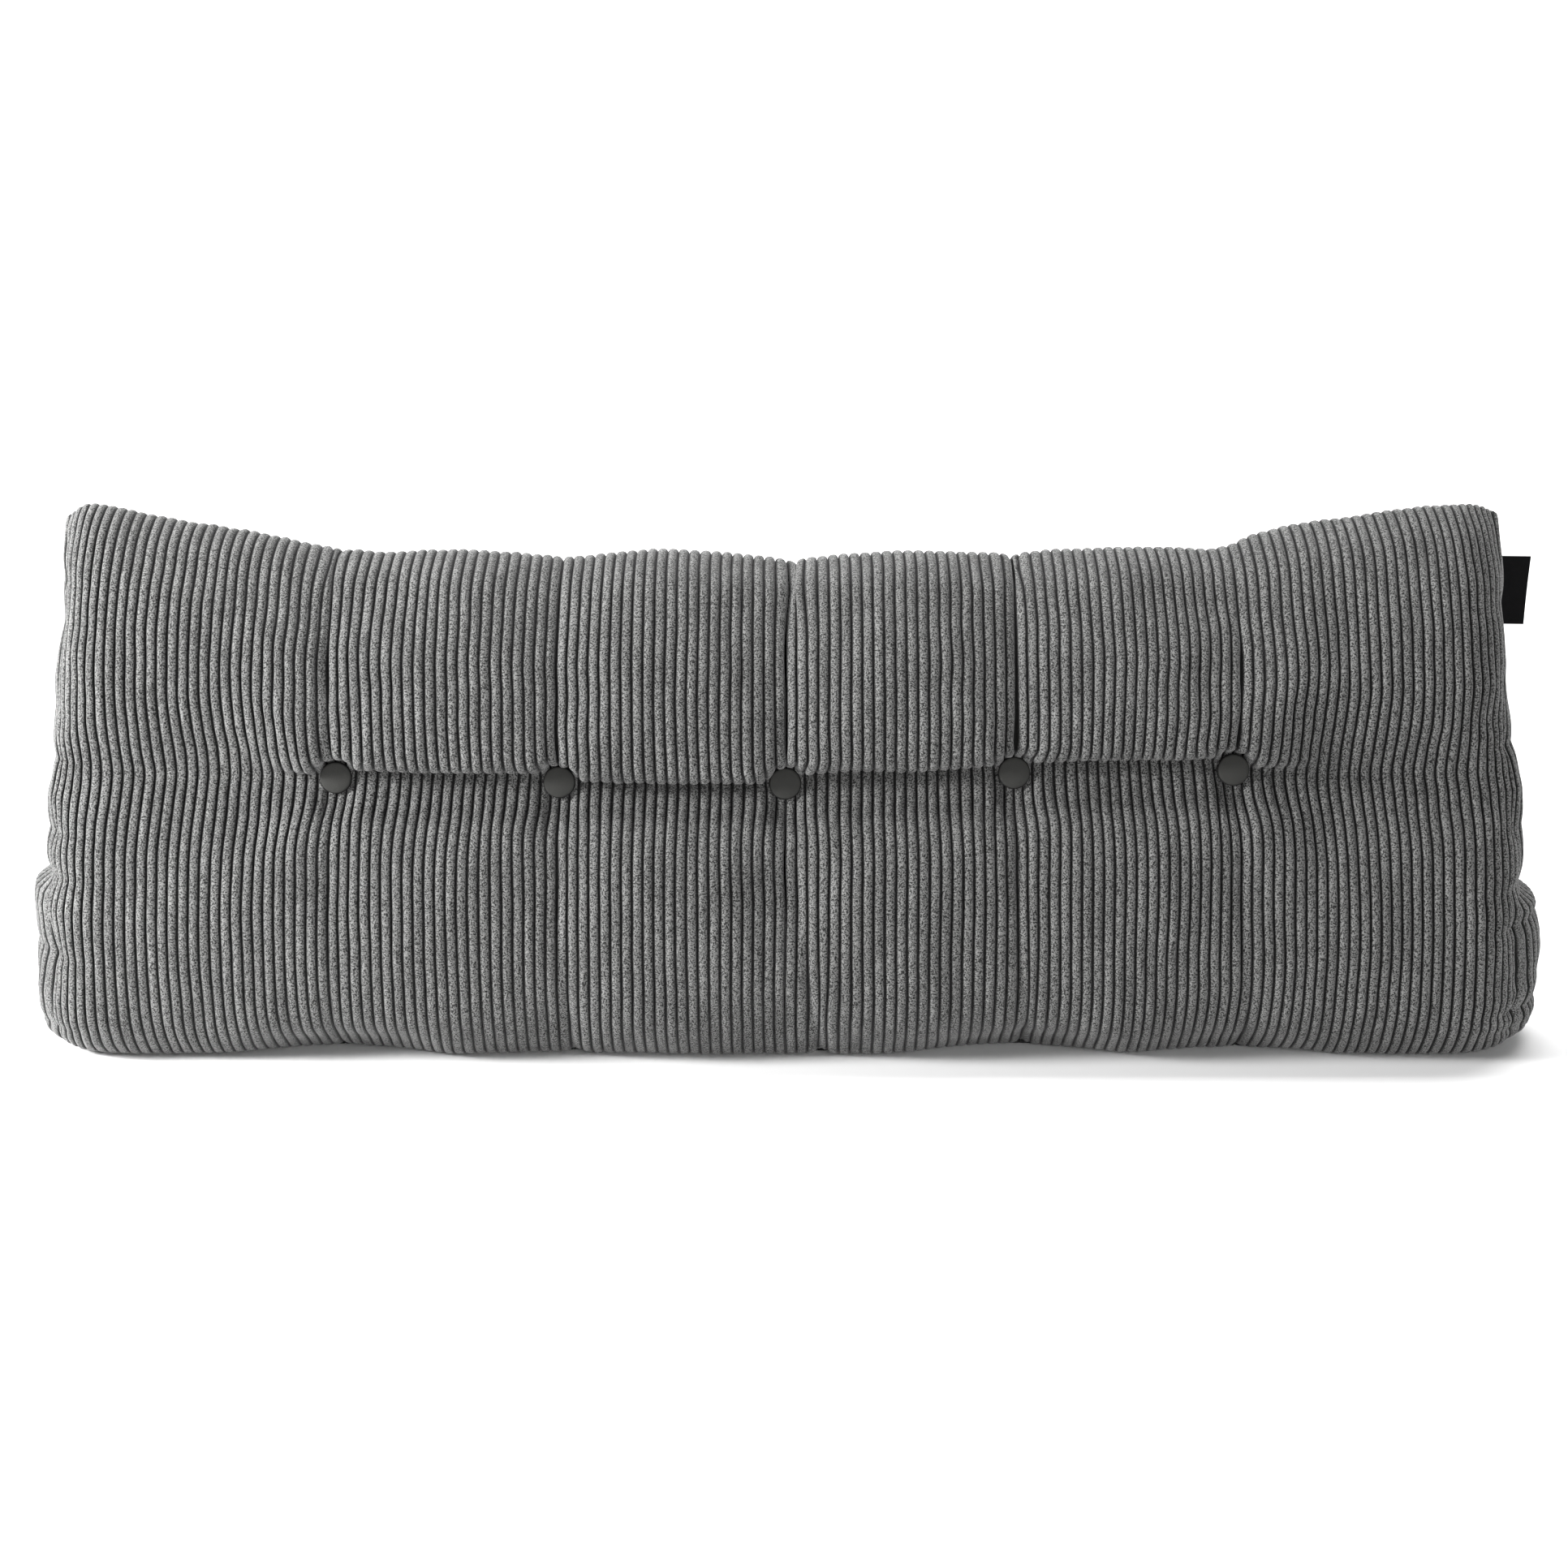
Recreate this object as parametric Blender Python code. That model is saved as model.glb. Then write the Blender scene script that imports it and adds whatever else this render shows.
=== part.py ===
"""Backrest pillow: a long corduroy wedge, tufted with one row of five covered buttons.

Metres, +Z up. The front faces -Y and the origin is on the floor, under the middle of the pillow.
The cushion is one filled solid. Its cross-section is a ring of stations, from the front edge of
the base up the front, over the top and down the back. Four section shapes are given at each
station and blended along X: mid-bay, through a tuft, outside the tufts, and at the end seam.
The corduroy's wales run along the ring on the front and top, and up the end panels.
"""

import math
from collections import namedtuple

import bmesh
import bpy
import numpy as np

# Corduroy
WALE_HEIGHT = 0.003
WALES_BETWEEN_TUFTS = 21
WALES_OUTSIDE_TUFTS = 28
ROLL_WALES = 7
OUTER_WALE_PITCH = 0.01034
PANEL_WALE_PITCH = 0.0100
GAP = 0.0003

# Ends: how far the front rolls away to the end seam, how round the top corners are, how far the foot
# spreads and how far the head is drawn in
ROLL_ANGLE = math.radians(65.0)
ROLL_WIDTH = 0.059
CORNER_START_X = 0.688
CORNER_WIDTH = 0.022
CORNER_DROP = 0.008
BASE_SPREAD = 0.012
END_START_X = 0.60
HALF_WIDTH = 0.71
FOOT_SPREAD = 0.006
FOOT_HEIGHT = 0.11
HEAD_DRAW_LEFT = 0.004
HEAD_DRAW_RIGHT = 0.010
HEAD_LOW_Z = 0.28
HEAD_BLEND = 0.08

# Tufts
MIDDLE_TUFT = 2
MIDDLE_X = -0.004
TUFT_SHARPNESS = 1.8
SEAT_HALF_WIDTH = 0.0175
GATHER = 0.0026
GATHER_REACH = 0.055
OUTER_START = 0.434
OUTER_BLEND = 0.095
SEAT_TILT = math.radians(12.0)
SEAT_Y = -0.036
SEAT_Z = 0.2813

# Covered buttons
BUTTON_RADIUS = 0.0155
BUTTON_CLEARANCE = 0.0042
BUTTON_SEGMENTS = 20
BUTTON_HEIGHT = 0.0101

# End panels
PANEL_THICKNESS = 0.0022
PANEL_FRONT_Y = -0.052
PANEL_BACK_Y = 0.088
SEAM_INSET = 0.005
TOP_INSET = 0.008
FOLD_Z = 0.164
LEFT_FOLD_RISE = 0.020
FOLD_ROWS = (-0.022, -0.009, 0.0, 0.009, 0.022)
ROWS_UNDER_FOLD = 4
ROWS_OVER_FOLD = 6
BULGE_EDGE = 0.024
BULGE_ROUNDNESS = 0.8
PANEL_WALE_HEIGHT = 0.0021

# Folded ribbon label in the right back seam
LABEL_WIDTH = 0.047
LABEL_HEIGHT = 0.069
LABEL_THICKNESS = 0.0014
LABEL_TILT = math.radians(1.0)
LABEL_PLACE = (0.6945, 0.0975, 0.440)

# Back and base are plain: one column for each COARSE_STEP columns of the front
COARSE_STEP = 14

Level = namedtuple("Level", "share height")
BUTTON_PROFILE = (
    Level(0.80, 0.0),
    Level(1.00, 0.0022),
    Level(1.00, 0.0048),
    Level(0.86, 0.0078),
    Level(0.50, 0.0096),
)

# How far the top edge rises along the pillow, with the ears at both ends
Rim = namedtuple("Rim", "x lift")
RIM = (
    Rim(-0.70, 0.056),
    Rim(-0.60, 0.037),
    Rim(-0.50, 0.023),
    Rim(-0.44, 0.015),
    Rim(-0.40, 0.010),
    Rim(-0.22, 0.006),
    Rim(-0.14, 0.009),
    Rim(-0.02, 0.005),
    Rim(0.07, 0.004),
    Rim(0.20, 0.011),
    Rim(0.36, 0.0115),
    Rim(0.41, 0.014),
    Rim(0.46, 0.029),
    Rim(0.55, 0.041),
    Rim(0.62, 0.050),
    Rim(0.70, 0.055),
)

# Outward lean of the wales above and below the crease, which draws them back in
Sway = namedtuple("Sway", "x shift")
SWAYS = (
    Sway(0.0, 0.0),
    Sway(0.22, 0.002),
    Sway(0.33, 0.004),
    Sway(0.43, 0.006),
    Sway(0.56, 0.004),
    Sway(0.69, 0.0),
)
SWAY_HEIGHT = 0.085

# upper and lower: how deep the crease is that runs up and down from each button. foot: how far the
# base edge is drawn up below it
Tuft = namedtuple("Tuft", "name x z upper lower foot")
TUFTS = (
    Tuft("button_1", -0.4351, 0.2822, 0.9, 0.8, 1.2),
    Tuft("button_2", -0.2206, 0.2778, 0.8, 1.0, 0.3),
    Tuft("button_3", -0.0033, 0.2763, 0.9, 1.0, 0.1),
    Tuft("button_4", 0.2165, 0.2870, 1.1, 0.8, 1.3),
    Tuft("button_5", 0.4268, 0.2900, 0.85, 0.7, 0.9),
)

# Height that the overhanging lip gains at the middle of each bay between two tufts
Bay = namedtuple("Bay", "left right lip_rise")
BAYS = (
    Bay("button_1", "button_2", 0.007),
    Bay("button_2", "button_3", -0.001),
    Bay("button_3", "button_4", 0.007),
    Bay("button_4", "button_5", 0.010),
)

# A station's (y, z) in each of the four sections. reach: how far from a tuft its pull shows.
# sharp: 1 where the pull is a crease, 0 where it is a round valley. crease: how far the station
# follows the height of the tufts. ear: how far it rises with the ears. seat: 1 where it lies behind
# a button. relief: how much of the wale height shows.
Row = namedtuple("Row", "name bay tuft outer seam reach sharp crease ear seat relief")
FRONT = (
    Row("base_edge", (-0.042, 0.0), (-0.026, 0.0), (-0.042, 0.0), (-0.03, 0.01), 0.13, 0.4, 0, 0, 0, 0.6),
    Row("toe", (-0.069, 0.0145), (-0.057, 0.02), (-0.068, 0.0145), (-0.045, 0.022), 0.13, 0.6, 0, 0, 0, 0.7),
    Row("shin", (-0.09, 0.045), (-0.082, 0.048), (-0.088, 0.046), (-0.06, 0.047), 0.11, 0.6, 0, 0, 0, 1),
    Row("belly", (-0.0975, 0.092), (-0.094, 0.092), (-0.0955, 0.092), (-0.064, 0.092), 0.11, 0.7, 0, 0, 0, 1),
    Row("low_crown", (-0.0985, 0.14), (-0.092, 0.139), (-0.096, 0.14), (-0.064, 0.14), 0.1, 0.7, 0, 0, 0, 1),
    Row("low_brow", (-0.093, 0.19), (-0.078, 0.186), (-0.085, 0.188), (-0.058, 0.186), 0.09, 0.7, 0.2, 0, 0, 1),
    Row("shoulder", (-0.083, 0.234), (-0.078, 0.232), (-0.072, 0.231), (-0.048, 0.222), 0.05, 0.6, 0.6, 0, 0, 1),
    Row("mouth", (-0.063, 0.267), (-0.0445, 0.2625), (-0.052, 0.262), (-0.036, 0.25), 0.033, 1, 1, 0, 1, 0.7),
    Row("crease", (-0.036, 0.283), (-0.036, 0.2813), (-0.036, 0.285), (-0.026, 0.275), 0.032, 1, 1, 0, 1, 0.3),
    Row("lip", (-0.057, 0.2885), (-0.036, 0.3009), (-0.037, 0.306), (-0.018, 0.298), 0.03, 1, 1, 0.05, 1, 0.7),
    Row("lip_front", (-0.065, 0.304), (-0.055, 0.3105), (-0.041, 0.331), (-0.01, 0.322), 0.036, 1, 0.8, 0.15, 0, 1),
    Row("high_low", (-0.058, 0.335), (-0.046, 0.337), (-0.041, 0.356), (0.0, 0.347), 0.06, 1, 0.5, 0.3, 0, 1),
    Row("high_mid", (-0.045, 0.366), (-0.033, 0.366), (-0.03, 0.382), (0.012, 0.376), 0.07, 1, 0.25, 0.45, 0, 1),
    Row("high_crown", (-0.03, 0.398), (-0.016, 0.396), (-0.017, 0.408), (0.028, 0.408), 0.08, 0.9, 0, 0.62, 0, 1),
    Row("high_brow", (-0.008, 0.431), (0.007, 0.427), (0.002, 0.435), (0.047, 0.436), 0.11, 0.5, 0, 0.8, 0, 1),
    Row("edge", (0.022, 0.459), (0.034, 0.453), (0.03, 0.459), (0.068, 0.457), 0.11, 0.6, 0, 0.93, 0, 1),
    Row("top", (0.066, 0.4755), (0.072, 0.469), (0.07, 0.4755), (0.085, 0.468), 0.11, 0.7, 0, 1, 0, 0.8),
    Row("rear_edge", (0.091, 0.468), (0.091, 0.461), (0.092, 0.468), (0.093, 0.461), 0.11, 0.7, 0, 1, 0, 0.5),
)
FOOT_ROWS = ("base_edge", "toe")
BACK = (
    Row("back_top", (0.0985, 0.44), (0.0985, 0.44), (0.0985, 0.44), (0.094, 0.44), 0.11, 0, 0, 1, 0, 0),
    Row("back_high", (0.1, 0.36), (0.1, 0.36), (0.1, 0.36), (0.094, 0.36), 0.11, 0, 0, 0.5, 0, 0),
    Row("back_mid", (0.1, 0.24), (0.1, 0.24), (0.1, 0.24), (0.094, 0.24), 0.11, 0, 0, 0, 0, 0),
    Row("back_low", (0.1, 0.09), (0.1, 0.09), (0.1, 0.09), (0.094, 0.09), 0.11, 0, 0, 0, 0, 0),
    Row("heel", (0.096, 0.016), (0.096, 0.016), (0.096, 0.016), (0.092, 0.022), 0.11, 0, 0, 0, 0, 0),
    Row("base_rear", (0.08, 0.0), (0.08, 0.0), (0.08, 0.0), (0.078, 0.008), 0.11, 0, 0, 0, 0, 0),
    Row("base_mid", (0.015, 0.0), (0.015, 0.0), (0.015, 0.0), (0.015, 0.008), 0.11, 0, 0, 0, 0, 0),
)

# How far the left and right ends bulge past their seams at each height, with the fold across them
Bulge = namedtuple("Bulge", "z left right")
BULGES = (
    Bulge(0.000, 0.024, 0.031),
    Bulge(0.030, 0.031, 0.039),
    Bulge(0.060, 0.033, 0.041),
    Bulge(0.120, 0.0325, 0.0404),
    Bulge(0.150, 0.031, 0.037),
    Bulge(0.162, 0.013, 0.017),
    Bulge(0.180, 0.016, 0.018),
    Bulge(0.240, 0.010, 0.016),
    Bulge(0.300, 0.0075, 0.012),
    Bulge(0.350, 0.010, 0.006),
    Bulge(0.420, 0.001, 0.003),
    Bulge(0.480, 0.004, 0.006),
    Bulge(0.540, 0.004, 0.004),
)

Finish = namedtuple("Finish", "name color roughness")
CORDUROY = Finish("corduroy", (0.15, 0.15, 0.15), 0.95)
BUTTON_CLOTH = Finish("button_cloth", (0.042, 0.042, 0.04), 0.9)
RIBBON = Finish("ribbon", (0.01, 0.01, 0.011), 0.6)


CREASE_ROW = next(station for station in FRONT if station.name == "crease")


def clamp(value):
    return min(max(value, 0.0), 1.0)


def smooth(value):
    value = clamp(value)
    return value * value * (3.0 - 2.0 * value)


def mix(a, b, weight):
    return tuple(p + (q - p) * weight for p, q in zip(a, b))


def wale_x(wale):
    """X of a wale, counted from the middle tuft; the last few roll away to the end seam."""
    side = math.copysign(1.0, wale)
    last_tuft = MIDDLE_TUFT * WALES_BETWEEN_TUFTS
    count = abs(wale)
    knots = [(i - MIDDLE_TUFT) * WALES_BETWEEN_TUFTS for i in range(len(TUFTS))]
    x = float(np.interp(side * min(count, last_tuft), knots, [t.x for t in TUFTS]))
    flat_wales = WALES_OUTSIDE_TUFTS - ROLL_WALES
    x += side * OUTER_WALE_PITCH * min(max(count - last_tuft, 0), flat_wales)
    x += side * ROLL_WIDTH * math.sin(roll_angle(count)) / math.sin(ROLL_ANGLE)
    return x


def roll_angle(wale):
    start = MIDDLE_TUFT * WALES_BETWEEN_TUFTS + WALES_OUTSIDE_TUFTS - ROLL_WALES
    return ROLL_ANGLE * clamp((abs(wale) - start) / ROLL_WALES)


def lip_rise(x):
    """Extra height of the lip in the bay that holds x, before the tufts pull it down."""
    places = {t.name: t.x for t in TUFTS}
    for bay in BAYS:
        if places[bay.left] <= x <= places[bay.right]:
            return bay.lip_rise
    return 0.0


def tuft_pull(station, x):
    """How strongly the tufts draw in one place along a station, from 0 to a little over 1."""
    seat = SEAT_HALF_WIDTH * station.seat
    pull = 0.0
    for tuft in TUFTS:
        away = clamp((abs(x - tuft.x) - seat) / (station.reach - seat))
        crease = (1.0 - away) ** TUFT_SHARPNESS
        valley = (1.0 - away**2) ** 2
        if station.name in FOOT_ROWS:
            depth, crease = tuft.foot, valley
        elif station.seat:
            depth = 1.0
        elif station.ear > 0.0:
            depth = tuft.upper
        else:
            depth = tuft.lower
        pull = max(pull, depth * (valley + (crease - valley) * station.sharp))
    return pull


def gather(x):
    """How far the wales beside a button are drawn towards it."""
    return sum(GATHER * math.sin(math.pi * min(max((x - t.x) / GATHER_REACH, -1.0), 1.0)) for t in TUFTS)


def crease_height(x, outside):
    """Height of the crease across the front, which follows the tufts and their bays."""
    station = CREASE_ROW
    pull = tuft_pull(station, x)
    z = mix(station.bay, station.outer, outside)[1]
    z += (station.tuft[1] - z) * pull
    return z + (tuft_height(x) - SEAT_Z) * (1.0 - outside) + lip_rise(x) * (1.0 - pull)


def tuft_height(x):
    return float(np.interp(x, [t.x for t in TUFTS], [t.z for t in TUFTS]))


def section_point(station, wale):
    """Point of the cushion's surface at a station and a wale."""
    x = wale_x(wale)
    outside = smooth((abs(x - MIDDLE_X) - OUTER_START) / OUTER_BLEND)
    roll = (1.0 - math.cos(roll_angle(wale))) / (1.0 - math.cos(ROLL_ANGLE))
    pull = tuft_pull(station, x)
    y, z = mix(station.bay, station.outer, outside)
    y, z = mix((y, z), station.tuft, pull)
    z += station.crease * (tuft_height(x) - SEAT_Z) * (1.0 - outside)
    if station.ear > 0.0 or station.name == "crease":
        z += station.crease * lip_rise(x) * (1.0 - pull)
    y, z = mix((y, z), station.seam, roll)
    sway = float(np.interp(abs(x), [s.x for s in SWAYS], [s.shift for s in SWAYS]))
    sway *= (1.0 - station.seat) * smooth(abs(z - crease_height(x, outside)) / SWAY_HEIGHT)
    x -= station.seat * gather(x)
    z += station.ear * float(np.interp(x, [r.x for r in RIM], [r.lift for r in RIM]))
    z -= station.ear**2 * CORNER_DROP * clamp((abs(x) - CORNER_START_X) / CORNER_WIDTH) ** 2
    foot = FOOT_SPREAD * (1.0 - smooth(z / FOOT_HEIGHT))
    head = (HEAD_DRAW_RIGHT if x > 0.0 else HEAD_DRAW_LEFT) * smooth((z - HEAD_LOW_Z) / HEAD_BLEND)
    end = smooth((abs(x) - END_START_X) / (HALF_WIDTH - END_START_X))
    spread = 1.0 + BASE_SPREAD * (1.0 - clamp(z / FOLD_Z))
    return x * spread + math.copysign(sway + end * (foot - head), x), y, z


def front_columns():
    """Wale positions of the front's columns: groove, ridge, groove and so on."""
    half = MIDDLE_TUFT * WALES_BETWEEN_TUFTS + WALES_OUTSIDE_TUFTS
    return [i / 2.0 for i in range(-2 * half, 2 * half + 1)]


def front_row(index):
    """Points along one front station, raised on the ridges along the section's own normal.

    The first row lies on the floor, so its ridges only reach forward.
    """
    station = FRONT[index]
    before = FRONT[max(index - 1, 0)]
    after = FRONT[min(index + 1, len(FRONT) - 1)]
    row = []
    for number, wale in enumerate(front_columns()):
        x, y, z = section_point(station, wale)
        dy = section_point(after, wale)[1] - section_point(before, wale)[1]
        dz = section_point(after, wale)[2] - section_point(before, wale)[2]
        size = math.hypot(dy, dz)
        raised = (0.5 if number % 2 else -0.5) * WALE_HEIGHT * station.relief
        if index == 0:
            row.append((x, y - raised, z))
        else:
            row.append((x, y - raised * dz / size, z + raised * dy / size))
    return row


def seam_line(side):
    """The closed ring of the end seam as (x, y, z), from the base's front edge round to the base."""
    wale = side * (MIDDLE_TUFT * WALES_BETWEEN_TUFTS + WALES_OUTSIDE_TUFTS)
    return [section_point(station, wale) for station in FRONT + BACK]


def fold_rise(side):
    """How much higher the fold across this end lies than FOLD_Z."""
    return LEFT_FOLD_RISE if side < 0 else 0.0


def end_x(side, y, z):
    """X of the filled end under its panel, at a depth and height."""
    ring = seam_line(side)
    front = ring[: len(FRONT)]
    heights = [p[2] for p in front[:-2]]
    seam_x = float(np.interp(z, heights, [p[0] for p in front[:-2]]))
    front_y = float(np.interp(z, heights, [p[1] for p in front[:-2]]))
    back_y = FRONT[-1].seam[0]
    across = clamp((y - front_y) / (back_y - front_y))
    outs = [b.right if side > 0 else b.left for b in BULGES]
    out = float(np.interp(z - fold_rise(side) * clamp(z / FOLD_Z), [b.z for b in BULGES], outs))
    edge = math.sin(0.5 * math.pi * clamp(z / BULGE_EDGE))
    return seam_x + side * out * edge * (4.0 * across * (1.0 - across)) ** BULGE_ROUNDNESS


def column_span(side, y):
    """Lowest and highest z inside the seam line at a depth."""
    ring = seam_line(side)
    crossings = []
    for a, b in zip(ring, ring[1:] + ring[:1]):
        if (a[1] - y) * (b[1] - y) <= 0.0 and a[1] != b[1]:
            crossings.append(a[2] + (b[2] - a[2]) * (y - a[1]) / (b[1] - a[1]))
    return min(crossings) + SEAM_INSET, max(crossings) - TOP_INSET


def panel_depths(steps_per_wale):
    wales = round((PANEL_BACK_Y - PANEL_FRONT_Y) / PANEL_WALE_PITCH)
    return [float(y) for y in np.linspace(PANEL_FRONT_Y, PANEL_BACK_Y, wales * steps_per_wale + 1)]


def panel_heights(side, y):
    """Heights of the rows in one column: even runs under and over the fold, and the fold itself."""
    low, high = column_span(side, y)
    fold = [FOLD_Z + fold_rise(side) + step for step in FOLD_ROWS]
    under = [float(z) for z in np.linspace(low, fold[0], ROWS_UNDER_FOLD, endpoint=False)]
    over = [float(z) for z in np.linspace(high, fold[-1], ROWS_OVER_FOLD, endpoint=False)]
    return under + fold + over[::-1]


def panel_grid(side, steps_per_wale, raised):
    """Columns of points over the end; raised(column) is how far they stand off it."""
    grid = []
    for number, y in enumerate(panel_depths(steps_per_wale)):
        off = side * raised(number)
        grid.append([(end_x(side, y, z) + off, y, z) for z in panel_heights(side, y)])
    return grid


def add_grid(mesh, grid):
    """Adds a grid of points as quads split in two, and returns its vertices."""
    verts = [[mesh.verts.new(p) for p in line] for line in grid]
    for a, b in zip(verts, verts[1:]):
        for i in range(len(a) - 1):
            mesh.faces.new((a[i], a[i + 1], b[i + 1]))
            mesh.faces.new((a[i], b[i + 1], b[i]))
    return verts


def rim(verts):
    """The vertices around the edge of a grid, in order."""
    ring = [line[0] for line in verts]
    ring += verts[-1][1:]
    ring += [line[-1] for line in verts[-2::-1]]
    ring += verts[0][-2:0:-1]
    return ring


def ring_edges(ring):
    """The edges between neighbours in a closed ring of vertices."""
    edges = []
    for a, b in zip(ring, ring[1:] + ring[:1]):
        edges += [e for e in a.link_edges if e.other_vert(a) is b]
    return edges


def finish_object(name, mesh, finish, smooth_angle=None):
    """Turns a bmesh into a named object with its own material."""
    bmesh.ops.triangulate(mesh, faces=mesh.faces[:])
    bmesh.ops.recalc_face_normals(mesh, faces=mesh.faces[:])
    if mesh.calc_volume(signed=True) < 0.0:
        bmesh.ops.reverse_faces(mesh, faces=mesh.faces[:])
    data = bpy.data.meshes.new(name)
    mesh.to_mesh(data)
    mesh.free()
    if smooth_angle is not None:
        data.shade_smooth()
        data.set_sharp_from_angle(angle=smooth_angle)
    item = bpy.data.objects.new(name, data)
    bpy.context.scene.collection.objects.link(item)
    material = bpy.data.materials.new(name + "_" + finish.name)
    material.use_nodes = True
    shader = material.node_tree.nodes["Principled BSDF"]
    shader.inputs["Base Color"].default_value = (*finish.color, 1.0)
    shader.inputs["Roughness"].default_value = finish.roughness
    shader.inputs["Metallic"].default_value = 0.0
    data.materials.append(material)
    return item


def add_cushion():
    """The filled wedge: ribbed front and top, plain back and base, and filled ends."""
    mesh = bmesh.new()
    front = [[mesh.verts.new(p) for p in front_row(i)] for i in range(len(FRONT))]
    for low, high in zip(front, front[1:]):
        for i in range(len(low) - 1):
            mesh.faces.new((low[i], low[i + 1], high[i + 1]))
            mesh.faces.new((low[i], high[i + 1], high[i]))
    wales = front_columns()[::COARSE_STEP]
    back = [[mesh.verts.new(section_point(s, w)) for w in wales] for s in BACK]
    for high, low in zip(back, back[1:]):
        for i in range(len(wales) - 1):
            mesh.faces.new((high[i], high[i + 1], low[i + 1], low[i]))
    for fine, coarse in ((front[-1], back[0]), (front[0], back[-1])):
        for i in range(len(wales) - 1):
            start = i * COARSE_STEP
            middle = start + COARSE_STEP // 2
            for n in range(start, start + COARSE_STEP):
                corner = coarse[i] if n < middle else coarse[i + 1]
                mesh.faces.new((fine[n], fine[n + 1], corner))
            mesh.faces.new((fine[middle], coarse[i + 1], coarse[i]))
    for side, column in ((-1, 0), (1, -1)):
        seam = [row[column] for row in front] + [row[column] for row in back]
        cap = rim(add_grid(mesh, panel_grid(side, 1, lambda number: 0.0)))
        bmesh.ops.bridge_loops(mesh, edges=ring_edges(seam) + ring_edges(cap))
    return finish_object("cushion", mesh, CORDUROY)


def add_end_panel(name, side):
    """A corduroy end panel, sewn over the filled end; its wales run up it."""
    mesh = bmesh.new()
    inner = add_grid(mesh, panel_grid(side, 1, lambda number: GAP))
    thick = GAP + PANEL_THICKNESS
    outer = add_grid(mesh, panel_grid(side, 2, lambda number: thick + PANEL_WALE_HEIGHT * (number % 2)))
    for row in (0, -1):
        for column in range(len(inner) - 1):
            near, far = inner[column][row], inner[column + 1][row]
            groove, ridge, next_groove = (outer[2 * column + step][row] for step in range(3))
            for face in ((near, groove, ridge), (near, ridge, far), (far, ridge, next_groove)):
                mesh.faces.new(face)
    for column in (0, -1):
        for i in range(len(inner[column]) - 1):
            mesh.faces.new((inner[column][i], inner[column][i + 1], outer[column][i + 1], outer[column][i]))
    return finish_object(name, mesh, CORDUROY)


def add_button(tuft):
    """A covered button with a low dome, facing out of its tuft."""
    mesh = bmesh.new()
    rings = []
    for level in BUTTON_PROFILE:
        ring = []
        radius = level.share * BUTTON_RADIUS
        for i in range(BUTTON_SEGMENTS):
            turn = 2.0 * math.pi * i / BUTTON_SEGMENTS
            ring.append(mesh.verts.new((radius * math.cos(turn), radius * math.sin(turn), level.height)))
        rings.append(ring)
    for low, high in zip(rings, rings[1:]):
        for i in range(BUTTON_SEGMENTS):
            j = (i + 1) % BUTTON_SEGMENTS
            mesh.faces.new((low[i], low[j], high[j], high[i]))
    mesh.faces.new(rings[0][::-1])
    crown = mesh.verts.new((0.0, 0.0, BUTTON_HEIGHT))
    for i in range(BUTTON_SEGMENTS):
        mesh.faces.new((rings[-1][i], rings[-1][(i + 1) % BUTTON_SEGMENTS], crown))
    item = finish_object(tuft.name, mesh, BUTTON_CLOTH, smooth_angle=math.radians(50.0))
    item.rotation_euler = (math.pi / 2.0 - SEAT_TILT, 0.0, 0.0)
    item.location = (
        tuft.x,
        SEAT_Y - BUTTON_CLEARANCE * math.cos(SEAT_TILT),
        tuft.z + BUTTON_CLEARANCE * math.sin(SEAT_TILT),
    )
    return item


def add_label():
    """A bare folded ribbon; the fold is its outer edge."""
    mesh = bmesh.new()
    half = LABEL_THICKNESS / 2.0
    outline = [(0.0, -half), (LABEL_WIDTH - half, -half)]
    for step in range(1, 6):
        turn = -math.pi / 2.0 + math.pi * step / 6.0
        outline.append((LABEL_WIDTH - half + half * math.cos(turn), half * math.sin(turn)))
    outline += [(LABEL_WIDTH - half, half), (0.0, half)]
    low = [mesh.verts.new((x, y, -LABEL_HEIGHT / 2.0)) for x, y in outline]
    high = [mesh.verts.new((x, y, LABEL_HEIGHT / 2.0)) for x, y in outline]
    for i in range(len(outline)):
        j = (i + 1) % len(outline)
        mesh.faces.new((low[i], low[j], high[j], high[i]))
    mesh.faces.new(low[::-1])
    mesh.faces.new(high)
    item = finish_object("label_tab", mesh, RIBBON)
    item.rotation_euler = (0.0, LABEL_TILT, 0.0)
    item.location = LABEL_PLACE
    return item


def main():
    for item in list(bpy.data.objects):
        bpy.data.objects.remove(item)
    add_cushion()
    add_end_panel("end_panel_left", -1)
    add_end_panel("end_panel_right", 1)
    for tuft in TUFTS:
        add_button(tuft)
    add_label()


main()
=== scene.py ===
import math
from collections import namedtuple

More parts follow.
